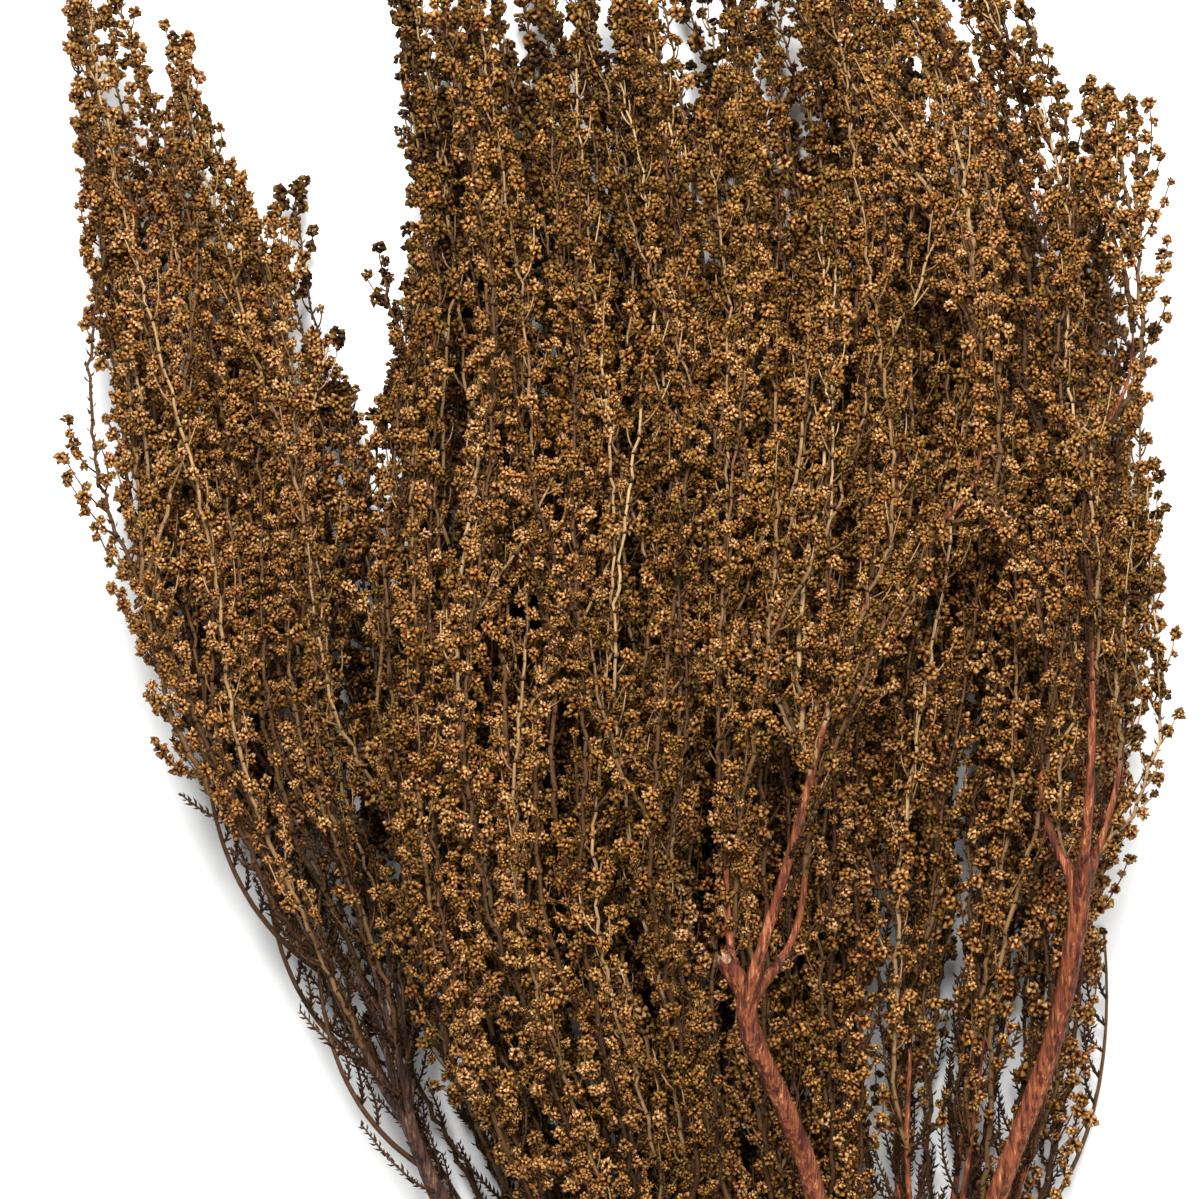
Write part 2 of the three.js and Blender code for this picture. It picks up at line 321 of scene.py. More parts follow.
def tube_grid(rings, sides):
    """A tube's triangles, each corner as its ring and column. The last column is the first again."""
    ring, column = np.meshgrid(np.arange(rings - 1), np.arange(sides), indexing="ij")
    ring, column = ring.ravel(), column.ravel()
    near_a, near_b = np.stack([ring, column], 1), np.stack([ring, column + 1], 1)
    far_a, far_b = near_a + [1, 0], near_b + [1, 0]
    return np.concatenate([np.stack([near_a, far_b, near_b], 1), np.stack([near_a, far_a, far_b], 1)])


def tube_corners(grid, sides):
    """The corner numbers of a tube's triangles."""
    return grid[..., 0] * sides + grid[..., 1] % sides


def strip_across(grid, sides, strip, strips):
    """How far across the map a tube's triangles lie, on one of several upright strips with a margin."""
    return (strip + 0.04 + 0.92 * grid[..., 1] / sides) / strips


def add_wands(parts, points, radii, sides, tones):
    """Thin tubes that need no closed ends. A tone from 0 to 1 picks the colour, across the map. Up the
    map runs the share along each tube, which the wand material darkens near the foot as painted shade.
    """
    rings = points.shape[1]
    grid = tube_grid(rings, sides)
    triangles = tube_corners(grid, sides)
    around = 0.012 * np.cos(2 * math.pi * grid[..., 1] / sides)
    across = np.clip(tones[:, None, None] + around, 0.02, 0.98)
    along = np.broadcast_to(0.2 + 0.75 * grid[..., 0] / rings, across.shape)
    places = np.stack([across, along], -1)
    parts.add(tubes(points, radii, sides), triangles, places, WAND_MATERIAL)


# ---- flower heads: small round clusters of blunt bracts ----
BRACT_TRIANGLES = np.array([(0, 2, 1), (0, 3, 2), (0, 1, 3), (4, 1, 2), (4, 2, 3), (4, 3, 1)])
BRACT_SHADE_ALONG = np.array([0.005, 0.07, 0.08, 0.075, 0.14])  # up the map, for a bract's five corners: its painted shade, dark at the foot, full colour at the point
BRACT_ACROSS = np.array([0.0, -0.006, 0.0, 0.006, 0.0])
FINE_BRACTS = 22
PLAIN_BRACTS = 14
DEEP_BRACTS = 9  # where other sprays lie over a head


def head_shape(bracts):
    """One flower head of radius 1: bracts that stand out from its middle all round."""
    turn = np.arange(bracts) * GOLDEN_ANGLE
    height = 1 - (2 * np.arange(bracts) + 1) / bracts
    out = np.stack([np.cos(turn), np.sin(turn), height], 1)
    out[:, :2] *= np.sqrt(1 - height**2)[:, None]
    out = unit(out + rng.normal(0, 0.17, out.shape))
    side = unit(np.cross(out, unit(rng.normal(size=out.shape))))
    other = np.cross(out, side)
    width = 1.6 / math.sqrt(bracts) * rng.uniform(0.75, 1.2, bracts)[:, None]
    length = rng.uniform(0.72, 1.24, bracts)[:, None]
    corners = [0.1 * out]
    for spin in (0.0, 2.1, 4.2):
        corners.append(0.68 * length * out + width * (math.cos(spin) * side + math.sin(spin) * other))
    corners.append(length * out + 0.16 * side)
    return np.stack(corners, 1).reshape(-1, 3) * rng.uniform(0.76, 1.2, 3)


HEAD_SHAPES = 12  # with each number of bracts
HEADS = {
    bracts: np.stack([head_shape(bracts) for _ in range(HEAD_SHAPES)])
    for bracts in (FINE_BRACTS, PLAIN_BRACTS, DEEP_BRACTS)
}


def random_turns(count):
    """Rotation matrices, from random unit quaternions."""
    w, x, y, z = unit(rng.normal(size=(count, 4))).T
    return np.stack(
        [
            np.stack([1 - 2 * (y * y + z * z), 2 * (x * y - w * z), 2 * (x * z + w * y)], 1),
            np.stack([2 * (x * y + w * z), 1 - 2 * (x * x + z * z), 2 * (y * z - w * x)], 1),
            np.stack([2 * (x * z - w * y), 2 * (y * z + w * x), 1 - 2 * (x * x + y * y)], 1),
        ],
        1,
    )


def add_heads(parts, centres, radii, tones, bracts):
    """Adds a flower head at each centre. A tone from 0 to 1 picks its colour, across the map's foot."""
    shapes = HEADS[bracts][rng.integers(len(HEADS[bracts]), size=len(centres))]
    corners = np.einsum("nij,nvj->nvi", random_turns(len(centres)), shapes)
    corners = corners * radii[:, None, None] + centres[:, None]
    triangles = (BRACT_TRIANGLES[None] + 5 * np.arange(bracts)[:, None, None]).reshape(-1, 3)
    tone = np.clip(tones[:, None] + rng.normal(0, 0.085, (len(centres), bracts)), 0.03, 0.97)
    across = (tone[:, :, None] + BRACT_ACROSS).reshape(len(centres), -1)
    # Up the map, each bract's painted shade from its foot to its point, a little dimmer on some heads at
    # random.
    along = np.tile(BRACT_SHADE_ALONG, bracts) * rng.uniform(0.8, 1.0, (len(centres), 1))
    places = np.stack([across, along], -1)[:, triangles]
    parts.add(corners, triangles, places, FLOWER_MATERIAL)


# ---- wands: scale leaves, side shoots and flower heads ----
class Habit:
    """How a branch's sprays grow, and in which colours."""

    def __init__(
        self, wands, bracts, tone, bare=0.0, combs=0.4, arches=0, bark="brown", girth=1.0, stub=False
    ):
        self.wands = wands  # on each spray
        self.bracts = bracts  # on each head, in its upper sprays and in its lower ones
        self.tone = tone
        self.bare = bare  # the share of a wand, from its foot, that hardly flowers
        self.combs = combs  # the share of leafy twigs that grow below the sprays
        self.arches = arches  # long leafy shoots that bow out to the side
        self.bark = bark
        self.girth = girth  # of its stem and twigs, next to the CAD's
        self.stub = stub  # whether a broken limb stands at its first fork


LEAF_TRIANGLES = np.array([(0, 3, 1), (0, 2, 3), (1, 3, 2), (0, 1, 2)])


def add_leaves(parts, foot, ahead, out, length, tones):
    """Scale leaves: slim pointed blades that lean away from the wood they stand on."""
    side = np.cross(ahead, out)
    size = (length * rng.uniform(0.7, 1.3, len(foot)))[:, None]
    wide = 0.36 * size
    tip = foot + size * (0.8 * ahead + 0.62 * out)
    back = foot + 0.3 * (tip - foot) + out * 0.25 * size
    corners = np.stack([foot + side * wide, foot - side * wide, back, tip], 1)
    across = tones[:, None] + np.array([-0.01, 0.01, 0, 0])
    # Low up the map, so the wand material's darkening near the foot, painted shade on wands and shoots,
    # makes the leaves darker as well.
    along = np.broadcast_to([0.25, 0.25, 0.3, 0.36], across.shape)
    places = np.stack([np.clip(across, 0.02, 0.98), along], -1)[:, LEAF_TRIANGLES]
    parts.add(corners, LEAF_TRIANGLES, places, WAND_MATERIAL)


class Way:
    """A polyline with the places and directions at any distance along it."""

    def __init__(self, points, step):
        self.points, self.far = resample(points, step)
        self.length = self.far[-1]
        self.along, self.sideways, self.upwards = frames_along(self.points)

    def at(self, distance, values):
        return np.stack([np.interp(distance, self.far, c) for c in values.T], 1)

    def around(self, distance, turn):
        """Directions away from the line, turned about it."""
        sideways, upwards = self.at(distance, self.sideways), self.at(distance, self.upwards)
        return unit(np.cos(turn)[:, None] * sideways + np.sin(turn)[:, None] * upwards)


def curved_shoots(base, ahead, out, size, steps):
    """Polylines that leave a wand sideways and curve up along it."""
    t = np.linspace(0, 1, steps)[None, :, None]
    stray = unit(rng.normal(size=out.shape))[:, None] * 0.14
    turn_up = ahead[:, None] * (0.5 * t + 0.42 * t**2)
    stand_off = out[:, None] * (0.66 * t - 0.3 * t**2)
    return base[:, None] + size[:, None, None] * (turn_up + stand_off + stray * t**2)


def grow_wand(parts, points, radius, tone, bracts, bare):
    """One wand along a polyline, with its leaves, side shoots and flower heads."""
    way = Way(points, 4 * MM)
    way.points[1:-1] += rng.normal(0, 0.45 * MM, (len(way.points) - 2, 3))
    radii = radius + (WAND_TIP_RADIUS - radius) * (way.far / way.length)
    wood_tone = 0.08 + 0.87 * rng.random() ** 1.15
    add_wands(parts, way.points[None], radii[None], 5, np.array([wood_tone]))

    spots = np.arange(2 * MM, way.length - 2 * MM, LEAF_PITCH)
    ahead = unit(way.at(spots, way.along))
    out = way.around(spots, GOLDEN_ANGLE * np.arange(len(spots)) + rng.uniform(0, 6))
    foot = way.at(spots, way.points) + out * 0.8 * np.interp(spots, way.far, radii)[:, None]
    add_leaves(parts, foot, ahead, out, LEAF_LENGTH, rng.uniform(0.1, 0.7, len(spots)))

    # Side shoots stand all round, closer together and shorter towards the tip.
    count = int(1.15 * way.length / SHOOT_PITCH)
    spots = way.length * (1 - (1 - (np.arange(count) + 0.5) / count) ** 1.3)
    spots = spots + rng.uniform(-1.4, 1.4, count) * MM
    share = spots / way.length
    flowering = rng.random(len(spots)) < 0.04 + 0.96 * smooth_step((share - bare[0]) / 0.1 + 0.5)
    flowering &= (share < bare[1]) | (share > bare[2]) | (rng.random(len(spots)) < 0.25)
    leafy = ~flowering & (share < bare[0] + 0.05) & (rng.random(len(spots)) < 0.35)
    if leafy.any():
        out = way.around(spots[leafy], GOLDEN_ANGLE * np.arange(leafy.sum()) + rng.uniform(0, 6))
        grow_leafy_twigs(parts, way, spots[leafy], out, rng.uniform(8, 20, leafy.sum()) * MM)
    spots, share = spots[flowering], share[flowering]
    ahead = unit(way.at(spots, way.along))
    out = way.around(spots, GOLDEN_ANGLE * np.arange(len(spots)) + rng.normal(0, 0.35, len(spots)))
    size = SHOOT_LENGTH * rng.uniform(0.4, 1.35, len(spots))
    size *= 1 - 0.62 * smooth_step((share - 0.6) / 0.4)
    shoots = curved_shoots(way.at(spots, way.points), ahead, out, size, 5)
    shoots[..., 2] = np.clip(shoots[..., 2], HEAD_RADIUS, CEILING)
    tones = np.clip(wood_tone + rng.normal(0, 0.1, len(spots)), 0.05, 0.95)
    radii = SHOOT_RADIUS * np.linspace(1, 0.6, 5)[None] * np.ones((len(spots), 1))
    add_wands(parts, shoots, radii, 3, tones)

    # Flower heads sit left and right of each shoot in turn, with one at its end.
    centres, sizes, near_tip = [way.points[-1:]], [np.array([HEAD_RADIUS * 0.8])], [np.ones(1)]
    across = unit(np.cross(ahead, out))
    outer = smooth_step((share - 0.65) / 0.35)
    for shoot, reach, side, tip_share in zip(shoots, size, across, outer):
        heads = max(int(reach / HEAD_PITCH), 1)
        order = np.arange(heads)
        down = 1 - 0.9 * order / heads
        place = np.stack([np.interp(down, np.linspace(0, 1, 5), c) for c in shoot.T], 1)
        swing = np.where(order % 2, 1, -1)[:, None] * (order > 0)[:, None] * side
        centres.append(place + HEAD_STAND_OFF * swing + rng.normal(0, 0.35 * MM, place.shape))
        sizes.append(HEAD_RADIUS * (1 + 0.1 * tip_share) * rng.uniform(0.62, 1.15, heads))
        near_tip.append(np.full(heads, tip_share))
    centres, sizes, near_tip = np.concatenate(centres), np.concatenate(sizes), np.concatenate(near_tip)
    centres[:, 2] = np.maximum(centres[:, 2], sizes * 0.95)
    # Heads near a wand's end are larger, and their tones are drawn towards the darker olive brown of tone
    # 0.26.
    tones = tone - (tone - 0.26) * 0.75 * near_tip + rng.normal(0, 0.11, len(centres))
    add_heads(parts, centres, sizes, tones, bracts)


def side_branch(points):
    """A polyline that leaves a wand part of the way up and leans across its neighbours."""
    start = int(len(points) * rng.uniform(0.2, 0.6))
    count = min(int(rng.uniform(12, 21)), len(points) - start)
    lean = rng.choice([-1.0, 1.0])
    if abs(points[start, 0]) > 90 * MM:
        lean = -math.copysign(1.0, points[start, 0])
    t = np.linspace(0, 1, count)[:, None]
    drift = lean * rng.uniform(16, 32) * MM * (1.5 * t - 0.5 * t**2)
    climb = rng.uniform(-0.2, 0.3) * lean
    points = points[start : start + count] + drift * np.array([[1.0, 0.0, climb]])
    points[:, 2] = np.clip(points[:, 2], LOWEST_WAND, CEILING)
    return points


def grow_spray(parts, run, habit, bracts):
    """The wands of one spray, which leave its twig one after another and spread through its shape."""
    run_down = SHORT_RUN_DOWN if habit.bare else RUN_DOWN
    low = max(run.spray_start - int(run_down / SLICE_STEP), run.shared)
    tone = habit.tone + rng.normal(0, 0.09)
    for k in range(habit.wands):
        begin = min(low + int(FORK_SLICES * k / habit.wands), run.spray_start + 6)
        tip_way = unit(run.points[-1] - run.points[-4])
        tail = run.points[-1] + np.arange(1, TAIL_SLICES + 1)[:, None] * SLICE_STEP * tip_way
        spine = np.concatenate([run.points[begin:], tail])
        room = np.concatenate([run.halves[begin:], np.repeat(run.halves[-1:], TAIL_SLICES, 0)])
        room = np.maximum(room, WAND_ROOM)
        far = distances(spine)
        _, sideways, upwards = frames_along(spine)
        turn = 2 * math.pi * (k + rng.uniform(-0.25, 0.25)) / habit.wands + 0.5
        turn = turn + rng.normal(0, 1.1) * far / far[-1]
        reach = rng.uniform(0.5, 1.0) * np.stack([np.cos(turn), 0.8 * np.sin(turn)], 1)
        sway = rng.uniform(0, 6, (2, 1))
        pace = rng.uniform(0.02, 0.05, (2, 1))
        wave = 0.33 * np.sin(far / pace + sway).T
        spread = smooth_step(far / (28 * MM))[:, None]
        offset = spread * (reach + wave) * room
        points = spine + offset[:, :1] * sideways + offset[:, 1:] * upwards
        points[:, 2] = np.clip(points[:, 2], LOWEST_WAND, CEILING)
        shortest = 0.7 if habit.bare else 0.88
        stop = max(int(len(points) * (1.0 if k == 0 else rng.uniform(shortest, 1.0))), 6)
        gap = rng.uniform(0.25, 0.7)
        bare = (habit.bare, gap, gap + rng.choice([0.0, 0.0, 0.12, 0.2]))
        radius = WAND_RADIUS * rng.uniform(0.7, 1.25)
        grow_wand(parts, points[:stop], radius, tone + rng.normal(0, 0.08), bracts, bare)
        if rng.random() < SIDE_BRANCH_SHARE:
            branch = side_branch(points[:stop])
            grow_wand(parts, branch, 0.8 * radius, tone + rng.normal(0, 0.08), bracts, (0, 1, 1))
    if run.spray_start - low > 6 and habit.bare < 0.1:
        grow_wand(parts, run.points[low : run.spray_start + 6], WAND_RADIUS, tone, bracts, (0, 1, 1))


def grow_leafy_twigs(parts, way, spots, out, size):
    """Flowerless twigs at some distances along a line, each with a comb of scale leaves."""
    shoots = curved_shoots(way.at(spots, way.points), unit(way.at(spots, way.along)), out, size, 7)
    shoots[..., 2] = np.maximum(shoots[..., 2], 1.0 * MM)
    radii = 0.5 * MM * np.linspace(1, 0.5, 7)[None] * np.ones((len(spots), 1))
    add_wands(parts, shoots, radii, 4, rng.uniform(*TWIG_TONES, len(spots)))
    for shoot in shoots:
        twig = Way(shoot, 2 * MM)
        at = np.arange(1 * MM, twig.length, COMB_LEAF_PITCH)
        leaf_out = twig.around(at, math.pi * np.arange(len(at)) + rng.normal(0, 0.6, len(at)))
        tones = rng.uniform(*TWIG_TONES, len(at))
        foot, ahead = twig.at(at, twig.points), unit(twig.at(at, twig.along))
        add_leaves(parts, foot, ahead, leaf_out, COMB_LEAF_LENGTH, tones)


def grow_combs(parts, run, share):
    """Leafy twigs on the wood below a spray."""
    first = max(run.shared, run.spray_start - 26)
    if run.spray_start - first < 4:
        return
    way = Way(run.points[first : run.spray_start + 3], 4 * MM)
    spots = np.arange(3 * MM, way.length, COMB_PITCH)
    spots = spots[rng.random(len(spots)) < share]
    if len(spots):
        out = way.around(spots, GOLDEN_ANGLE * np.arange(len(spots)) + rng.uniform(0, 6))
        grow_leafy_twigs(parts, way, spots, out, COMB_LENGTH * rng.uniform(0.5, 1.4, len(spots)))


def grow_arches(parts, run, count):
    """Long thin shoots that bow away from the bunch's middle, with leafy twigs along their inner side."""
    side = np.array([math.copysign(1.0, run.points[-1, 0]), 0.0, 0.0])
    first = max(run.spray_start - 24, 2)
    for k in range(count):
        start = run.points[first + int(18 * k / count)]
        size = rng.uniform(90, 125) * MM
        t = np.linspace(0, 1, 16)[:, None]
        rise = size * (0.5 * t + 0.4 * t**2) * np.array([[0.0, 1.0, 0.0]])
        bow = size * (0.8 * t - 0.46 * t**2) * side
        points = start + rise + bow + np.array([[0.0, 0.0, 1.0]]) * rng.uniform(-8, 14) * MM * t
        points[:, 2] = np.maximum(points[:, 2], LOWEST_WAND)
        way = Way(points, 4 * MM)
        radii = np.linspace(0.95, 0.4, len(way.points))[None] * MM
        add_wands(parts, way.points[None], radii, 6, np.array([rng.uniform(0.15, 0.45)]))
        spots = np.arange(20 * MM, way.length, ARCH_SHOOT_PITCH)
        inward = np.cross(unit(way.at(spots, way.along)), [0.0, 0.0, -side[0]])
        out = unit(inward + rng.normal(0, 0.25, inward.shape))
        grow_leafy_twigs(parts, way, spots, out, rng.uniform(11, 26, len(spots)) * MM)


# ---- bark ----
def wood_along(run):
    """The middle and radius of a run's wood, from inside the wood it leaves to inside its spray."""
    begin = max(run.shared - 4, 0)
    end = run.spray_start + 4
    radii = np.minimum.accumulate(run.halves[:end].min(1))[begin:]
    radii[run.spray_start - begin :] = WAND_RADIUS * 1.3
    radii[: run.shared - begin] = np.minimum(radii[: run.shared - begin], 0.75 * radii[0])
    points, far = resample(run.points[begin:end], BARK_STEP)
    thick = blur(np.interp(far, distances(run.points[begin:end]), radii), 8)
    middle = blur(points, 8)
    middle[0] = points[0]
    return middle, thick


def add_bark(parts, middle, thick, strip, strips):
    """One length of wood with ridges and knots, on its own upright strip of the map."""
    sides = 26 if thick.max() > STEM_LIMIT else 14
    rings = len(middle)
    smooth = tubes(middle[None], thick[None], sides)[0].reshape(rings, sides, 3)
    fine = noise(smooth / np.array([1.0, 10.0, 1.0]) / MM)
    broad = noise(smooth / np.array([3.5, 16.0, 3.5]) / MM + 7)
    knots = smooth_step((noise(smooth / np.array([6.0, 7.0, 6.0]) / MM + 3) - 0.74) / 0.2)
    ridges = 1 - np.abs(2 * fine - 1)
    swell = 1 + 0.2 * (ridges - 0.6) + 0.18 * (broad - 0.5) + 0.25 * knots
    grid = tube_grid(rings, sides)
    triangles = tube_corners(grid, sides)
    across = strip_across(grid, sides, strip, strips)
    along = 0.02 + 0.84 * grid[..., 0] / rings
    corners = tubes(middle[None], (thick[:, None] * swell)[None], sides)
    places = np.stack([across, along], -1)
    parts.add(corners, triangles, places[None], BARK_MATERIAL)
    return corners[0].reshape(rings, sides, 3)


def add_cut_end(parts, rim, middle, strip, strips, rough):
    """The end of a piece of wood: pale, inside the bark's last ring, and uneven by so much."""
    sides = len(rim)
    shares = np.array([1.0, 0.88, 0.66, 0.4, 0.12])
    corners = middle + shares[:, None, None] * (rim - middle)
    corners[1:, :, 1] += rough * (noise(corners[1:] / (0.8 * MM)) - 0.5)
    grid = tube_grid(len(shares), sides)
    triangles = tube_corners(grid, sides)
    across = strip_across(grid, sides, strip, strips)
    places = np.stack([across, 0.98 - 0.1 * (1 - shares[grid[..., 0]])], -1)
    fan = np.array([(4 * sides, 4 * sides + i + 1, 4 * sides + i) for i in range(1, sides - 1)])
    fan_places = np.broadcast_to([(strip + 0.5) / strips, 0.885], (len(fan), 3, 2))
    fan_places = fan_places + [[0, 0], [0.004, 0], [0, 0.003]]
    triangles = np.concatenate([triangles, fan])[:, ::-1]
    places = np.concatenate([places, fan_places])[:, ::-1]
    parts.add(corners.reshape(1, -1, 3), triangles, places[None], CUT_MATERIAL)


def add_stub(parts, run, strip, strips):
    """A short side limb that broke off, with a torn end, where a run leaves the wood it grew from."""
    start = run.points[run.shared - 1]
    t = np.linspace(0, 1, 14)[:, None]
    middle = start + STUB_LENGTH * (t * [-0.62, 0.78, 0.0] + t**2 * [0.0, 0.1, 0.14])
    thick = np.linspace(3.1, 2.7, 14) * MM
    rings = add_bark(parts, middle, thick, strip, strips)
    torn = rings[-1] + (unit(middle[-1] - middle[-2]) * rng.uniform(0, 3.2, (len(rings[-1]), 1)) * MM)
    grid = tube_grid(2, len(torn))
    across = strip_across(grid, len(torn), strip, strips)
    places = np.stack([across, 0.86 + 0.015 * grid[..., 0]], -1)
    corners = np.stack([rings[-1], torn]).reshape(1, -1, 3)
    parts.add(corners, tube_corners(grid, len(torn)), places[None], BARK_MATERIAL)
    add_cut_end(parts, torn[::-1], middle[-1], strip, strips, 2.4 * MM)


def grow_wood(name, runs, habit):
    """A branch's stem and twigs, which thin beyond the first fork."""
    woods = [wood_along(run) for run in runs if run.spray_start - run.shared >= 2]
    first_fork = min(runs[1:], key=lambda run: run.shared)
    fork = first_fork.points[first_fork.shared - 1, 1]
    strips = len(woods) + habit.stub
    parts = Parts()
    for strip, (middle, thick) in enumerate(woods):
        past = middle[:, 1] - fork
        foot = smooth_step((middle[0, 1] + FOOT_LENGTH - middle[:, 1]) / FOOT_LENGTH)
        slimmer = habit.girth + (1 - habit.girth) * foot
        slimmer -= FORK_THINNING * smooth_step(past / (15 * MM))
        slimmer -= TWIG_THINNING * smooth_step(past / (110 * MM))
        rings = add_bark(parts, middle, thick * slimmer, strip, strips)
        if strip == 0:
            add_cut_end(parts, rings[0], middle[0], strip, strips, 0.3 * MM)
    if habit.stub:
        add_stub(parts, first_fork, len(woods), strips)
    return parts.build(name, [BARKS[habit.bark], CUT_WOOD])


# ---- the elastic band ----
def closed_outline(ring, angles):
    """A ring's distance from the middle of its box at each angle, and that middle."""
    centre = (ring.min(0) + ring.max(0)) / 2
    x, z = (ring - centre).T
    order = np.argsort(np.arctan2(z, x))
    loop = (ring - centre)[np.concatenate([order, order[:1]])]
    t = np.linspace(0, 1, 20)[:, None]
    dense = np.concatenate([a + t * (b - a) for a, b in zip(loop[:-1], loop[1:])])
    around = np.arctan2(dense[:, 1], dense[:, 0])
    order = np.argsort(around)
    return np.interp(angles, around[order], np.hypot(*dense.T)[order], period=2 * math.pi), centre


def build_band(node):
    """A rubber band wound three times about the stems, within the CAD band's ring."""
    mesh = shared_corners(node)
    low, high = mesh[0][:, 1].min(), mesh[0][:, 1].max()
    rings = sorted(cut_rings(mesh, (low + high) / 2), key=lambda ring: np.ptp(ring[:, 0]))
    turns, steps, sides = 3, 140, 12
    angles = np.linspace(0, 2 * math.pi * turns, turns * steps + 1)
    inner, _ = closed_outline(rings[0], angles)
    outer, centre = closed_outline(rings[-1], angles)
    half_wide, half_thick = 0.94 * (high - low) / 2 / turns, (outer - inner).mean() / 2
    middle = blur((inner + outer) / 2, 3)
    lay = np.linspace(low + half_wide, high - half_wide, len(angles)) + 0.25 * MM * np.sin(3.3 * angles)
    section = 2 * math.pi * np.arange(sides) / sides
    across = np.sign(np.cos(section)) * np.abs(np.cos(section)) ** 0.5 * half_wide
    thick = np.sign(np.sin(section)) * np.abs(np.sin(section)) ** 0.5 * half_thick
    reach = middle[:, None] + thick
    corners = np.stack([
        centre[0] + reach * np.cos(angles)[:, None],
        lay[:, None] + across + 0 * reach,
        centre[1] + reach * np.sin(angles)[:, None],
    ], -1)
    corners[..., 2] = np.maximum(corners[..., 2], 0)
    grid = tube_grid(len(angles), sides)
    triangles = tube_corners(grid, sides)
    across, along = grid[..., 1] / sides, grid[..., 0] / len(angles)
    places = 0.02 + 0.96 * np.stack([across, along], -1)
    parts = Parts()
    parts.add(corners.reshape(1, -1, 3), triangles, places[None], 0)
    band = parts.build("wound_band", [RUBBER])
    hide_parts("elastic_band")


# ---- materials ----
def new_material(name):
    material = bpy.data.materials.new(name)
    material.use_nodes = True
    return material, material.node_tree.nodes, material.node_tree.links


def ramp(nodes, links, value, stops):
    """A colour ramp over a value, through (position, (r, g, b)) stops."""
    node = nodes.new("ShaderNodeValToRGB")
    while len(node.color_ramp.elements) < len(stops):
        node.color_ramp.elements.new(0.5)
    for element, (position, colour) in zip(node.color_ramp.elements, stops):
        element.position = position
        element.color = (*colour, 1)
    links.new(value, node.inputs["Fac"])
    return node.outputs["Color"]


def multiply(nodes, links, first, second):
    node = nodes.new("ShaderNodeMix")
    node.data_type = "RGBA"
    node.blend_type = "MULTIPLY"
    node.inputs["Factor"].default_value = 1
    links.new(first, node.inputs["A"])
    links.new(second, node.inputs["B"])
    return node.outputs["Result"]


def noise_texture(nodes, links, vector, scale, detail=4, rough=0.6):
    node = nodes.new("ShaderNodeTexNoise")
    node.inputs["Scale"].default_value = scale
    node.inputs["Detail"].default_value = detail
    node.inputs["Roughness"].default_value = rough
    links.new(vector, node.inputs["Vector"])
    return node.outputs["Fac"]


def stretched(nodes, links, vector, scale):
    node = nodes.new("ShaderNodeMapping")
    node.inputs["Scale"].default_value = scale
    links.new(vector, node.inputs["Vector"])
    return node.outputs["Vector"]


def scaled(nodes, links, value, low, high):
    """A value from 0 to 1 brought between low and high."""
    node = nodes.new("ShaderNodeMapRange")
    node.inputs["To Min"].default_value = low
    node.inputs["To Max"].default_value = high
    links.new(value, node.inputs["Value"])
    return node.outputs["Result"]


def add_bump(nodes, links, height, strength, distance):
    node = nodes.new("ShaderNodeBump")
    node.inputs["Strength"].default_value = strength
    node.inputs["Distance"].default_value = distance
    links.new(height, node.inputs["Height"])
    links.new(node.outputs["Normal"], nodes["Principled BSDF"].inputs["Normal"])


def bake_map(nodes, links):
    """The OFBake map's place, its tone across and its share up."""
    place = nodes.new("ShaderNodeUVMap")
    place.uv_map = "OFBake"
    split = nodes.new("ShaderNodeSeparateXYZ")
    links.new(place.outputs["UV"], split.inputs["Vector"])
    return place.outputs["UV"], split.outputs["X"], split.outputs["Y"]


def flower_material():
    """Dried bracts: dark brown, olive, ochre, straw and red brown by tone, with pale points. Each bract
    is darkened towards its foot as painted shade in the crevices of its head, and the darkest tones
    are painted shade on heads deep in the bunch.
    """
    material, nodes, links = new_material("dried_bracts")
    shader = nodes["Principled BSDF"]
    shader.inputs["Specular IOR Level"].default_value = 0.12
    place, tone, up = bake_map(nodes, links)
    family = ramp(nodes, links, tone, [
        (0.0, (0.045, 0.018, 0.005)),
        (0.12, (0.09, 0.052, 0.013)),
        (0.26, (0.22, 0.15, 0.032)),
        (0.42, (0.43, 0.26, 0.085)),
        (0.56, (0.61, 0.38, 0.15)),
        (0.68, (0.77, 0.56, 0.3)),
        (0.8, (0.52, 0.29, 0.13)),
        (1.0, (0.33, 0.14, 0.055)),
    ])
    # Painted shade: each bract runs from near black at its foot, in the crevices of the head, to full
    # colour at its point.
    shade = ramp(nodes, links, up, [
        (0.0, (0.05, 0.017, 0.005)),
        (0.05, (0.17, 0.07, 0.02)),
        (0.08, (0.42, 0.27, 0.13)),
        (0.14, (0.86, 0.92, 1.0)),
    ])
    links.new(multiply(nodes, links, family, shade), shader.inputs["Base Color"])
    grain = noise_texture(nodes, links, place, 160)
    links.new(scaled(nodes, links, grain, 0.62, 0.95), shader.inputs["Roughness"])
    add_bump(nodes, links, grain, 0.25, 0.0002)
    return material


